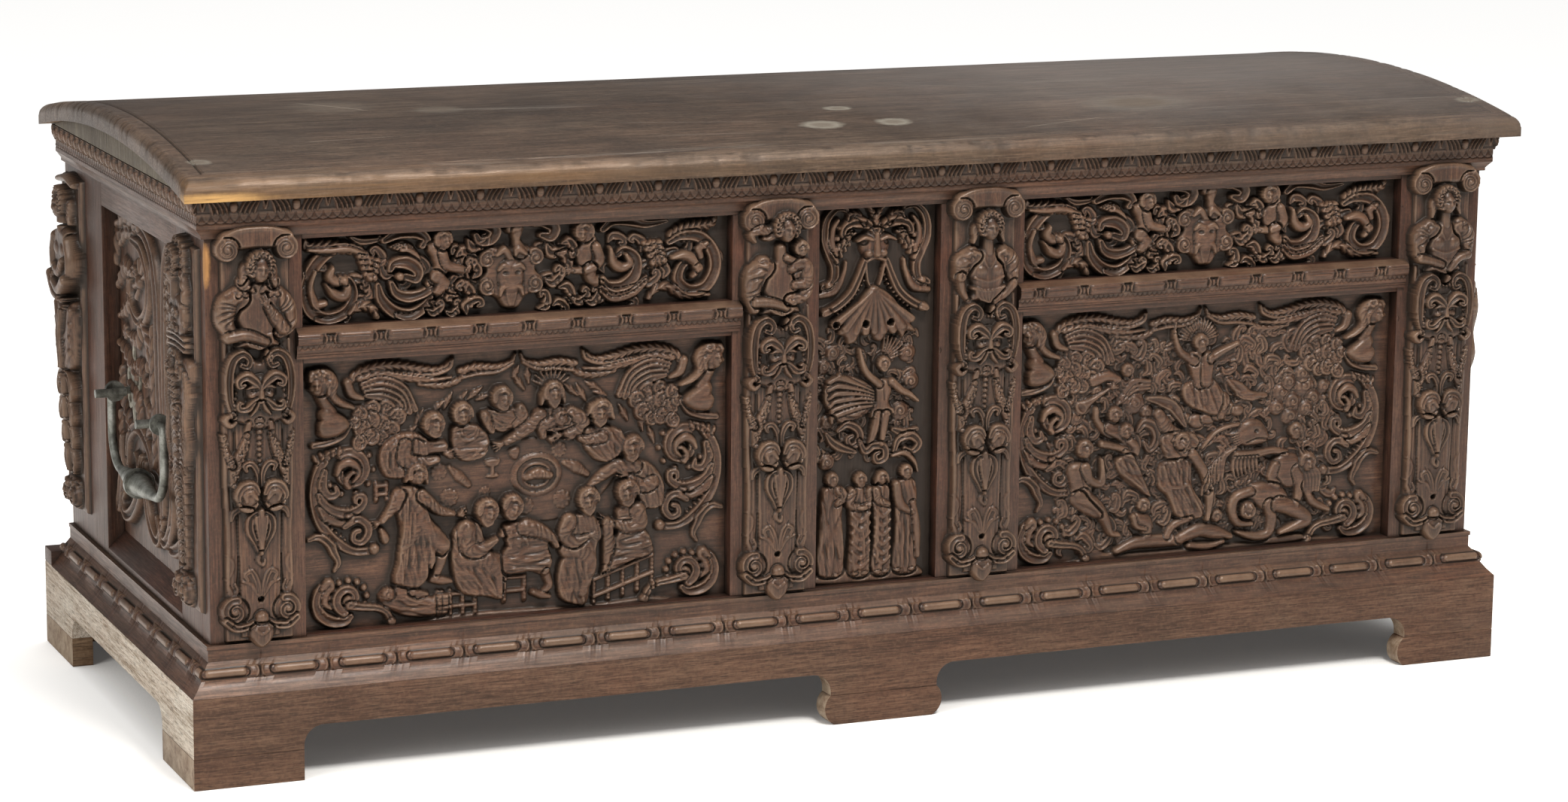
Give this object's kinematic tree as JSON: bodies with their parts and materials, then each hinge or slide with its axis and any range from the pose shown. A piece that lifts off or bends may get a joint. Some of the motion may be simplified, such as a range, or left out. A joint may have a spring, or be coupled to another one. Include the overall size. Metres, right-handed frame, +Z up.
{
  "type": "carved chest",
  "caption": "Long carved walnut chest with framed relief panels, figure pilasters, an arched hinged lid, iron drop handles and a bracket plinth.",
  "frame": {"origin": "on the floor, under the middle of the chest's bounding box", "axes": "+X along the chest, the carved front faces -Y, +Z up"},
  "size_m": [1.81, 0.774, 0.7699],
  "materials": {
    "carved_walnut": "dark red-brown walnut, waxed, worn paler on the high points",
    "lid_walnut": "dark grey-brown walnut with long grain, scuffed, worn along the edges",
    "plinth_walnut": "mid-brown walnut, dull and knocked about",
    "plain_walnut": "plain unpolished walnut",
    "forged_iron": "forged iron, dull grey with brown rust"
  },
  "bodies": {
    "chest": {"back_boards": "plain_walnut", "bail_eyebolts": "forged_iron", "bail_plates": "forged_iron", "base_moulding_front": "carved_walnut", "base_moulding_left": "carved_walnut", "base_moulding_right": "carved_walnut", "base_strip_back": "plain_walnut", "centre_panel": "carved_walnut", "corner_herm_left_back": "carved_walnut", "corner_herm_left_front": "carved_walnut", "corner_herm_right_back": "carved_walnut", "corner_herm_right_front": "carved_walnut", "cornice_front": "carved_walnut", "cornice_left": "carved_walnut", "cornice_right": "carved_walnut", "feet_back": "plain_walnut", "floor_boards": "plain_walnut", "foot_front_left": "plinth_walnut", "foot_front_middle": "plinth_walnut", "foot_front_right": "plinth_walnut", "frieze_panel_left": "carved_walnut", "frieze_panel_right": "carved_walnut", "front_bottom_rail": "carved_walnut", "front_muntin_left": "carved_walnut", "front_muntin_right": "carved_walnut", "front_stile_left": "carved_walnut", "front_stile_right": "carved_walnut", "front_top_rail": "carved_walnut", "herm_inner_left": "carved_walnut", "herm_inner_right": "carved_walnut", "herm_outer_left": "carved_walnut", "herm_outer_right": "carved_walnut", "hinge_back_leaves": "forged_iron", "hinge_pins": "forged_iron", "ledger_strips": "plain_walnut", "left_end_panel": "carved_walnut", "left_end_rails": "carved_walnut", "left_end_stiles": "carved_walnut", "lock_case": "forged_iron", "lower_panel_left": "carved_walnut", "lower_panel_right": "carved_walnut", "mid_mouldings": "carved_walnut", "mid_rail_left": "carved_walnut", "mid_rail_right": "carved_walnut", "plinth_back_board": "plain_walnut", "plinth_front_board": "plinth_walnut", "plinth_left_board": "plinth_walnut", "plinth_right_board": "plinth_walnut", "right_end_panel": "carved_walnut", "right_end_rails": "carved_walnut", "right_end_stiles": "carved_walnut"},
    "lid": {"lid_boards": "lid_walnut", "lid_cheeks": "lid_walnut", "lid_bearers": "plain_walnut", "lid_battens": "plain_walnut", "hinge_lid_leaves": "forged_iron", "lid_staple": "forged_iron"},
    "bail_left": {"bail_left": "forged_iron"},
    "bail_right": {"bail_right": "forged_iron"},
    "lock_bolt": {"lock_bolt": "forged_iron"}
  },
  "joints": [
    {"name": "lid_hinge", "type": "hinge", "parent": "chest", "child": "lid", "pos_m": [0, 0.3575, 0.7096], "axis": [-1, 0, 0], "range_deg": [0, 95]},
    {"name": "bail_left_swing", "type": "hinge", "parent": "chest", "child": "bail_left", "pos_m": [-0.874, -0.03004, 0.39988], "axis": [0, 1, 0], "range_deg": [-4, 130]},
    {"name": "bail_right_swing", "type": "hinge", "parent": "chest", "child": "bail_right", "pos_m": [0.874, -0.03004, 0.39988], "axis": [0, -1, 0], "range_deg": [-4, 130]},
    {"name": "lock_bolt_slide", "type": "slide", "parent": "chest", "child": "lock_bolt", "axis": [1, 0, 0], "range_m": [0, 0.02]}
  ]
}
